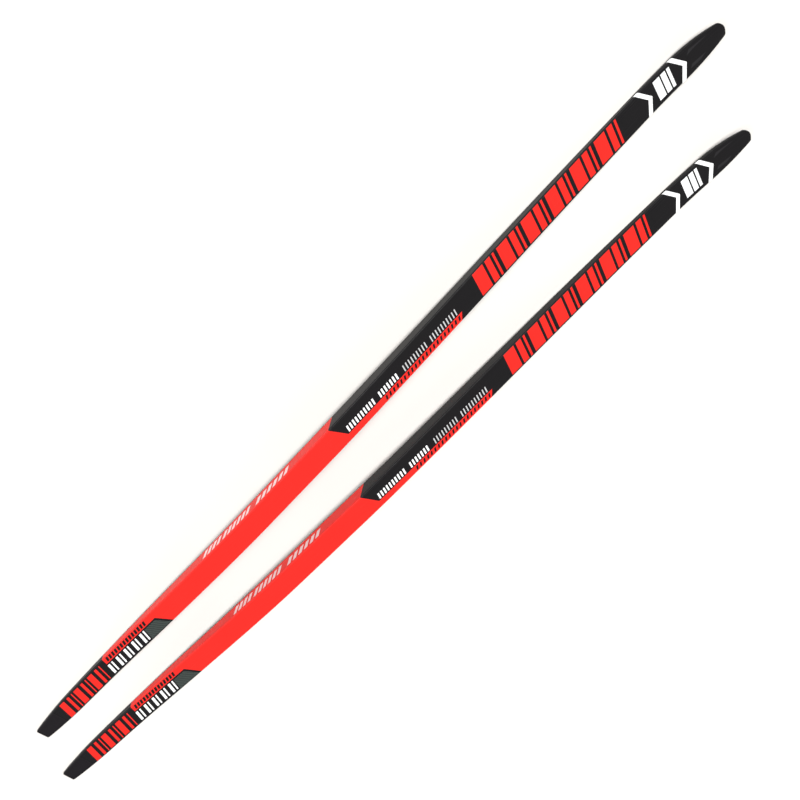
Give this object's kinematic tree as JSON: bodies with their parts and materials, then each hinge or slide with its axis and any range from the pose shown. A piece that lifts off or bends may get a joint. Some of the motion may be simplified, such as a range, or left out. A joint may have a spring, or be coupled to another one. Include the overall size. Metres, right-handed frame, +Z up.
{
  "type": "cross-country skate skis",
  "caption": "Pair of slim cambered skate skis with blunt upturned tips and tapered tails; each is a glued sandwich of base, wood core, laminates and printed cap, with a flat binding seat.",
  "frame": {"origin": "centre of the pair's footprint, on the surface that the skis lie on", "axes": "+X towards the tips, +Y to the skier's left, +Z up"},
  "size_m": [1.8578, 0.2242, 0.0472],
  "materials": {
    "top_sheet": "printed red and black under clear gloss lacquer",
    "running_base": "stone-ground sintered polyethylene",
    "end_plastic": "moulded satin",
    "laminate": "glass fibre in cured resin",
    "screw_plate": "pressed fibre sheet",
    "hardwood": "planed, grain along the ski",
    "core_wood": "planed, grain along the ski"
  },
  "bodies": {
    "left_ski": {"left_base": "running_base", "left_lower_laminate": "laminate", "left_rear_stringer_left": "core_wood", "left_rear_stringer_centre": "core_wood", "left_rear_stringer_right": "core_wood", "left_binding_block": "hardwood", "left_binding_plate": "screw_plate", "left_front_stringer_left": "core_wood", "left_front_stringer_centre": "core_wood", "left_front_stringer_right": "core_wood", "left_upper_laminate": "laminate", "left_tip_insert": "end_plastic", "left_tail_protector": "end_plastic", "left_top_sheet": "top_sheet"},
    "right_ski": {"right_base": "running_base", "right_lower_laminate": "laminate", "right_rear_stringer_left": "core_wood", "right_rear_stringer_centre": "core_wood", "right_rear_stringer_right": "core_wood", "right_binding_block": "hardwood", "right_binding_plate": "screw_plate", "right_front_stringer_left": "core_wood", "right_front_stringer_centre": "core_wood", "right_front_stringer_right": "core_wood", "right_upper_laminate": "laminate", "right_tip_insert": "end_plastic", "right_tail_protector": "end_plastic", "right_top_sheet": "top_sheet"}
  },
  "joints": [
    {"name": "right_ski_lift", "type": "slide", "parent": "left_ski", "child": "right_ski", "axis": [0, 0, 1], "range_m": [0, 0.15]}
  ]
}
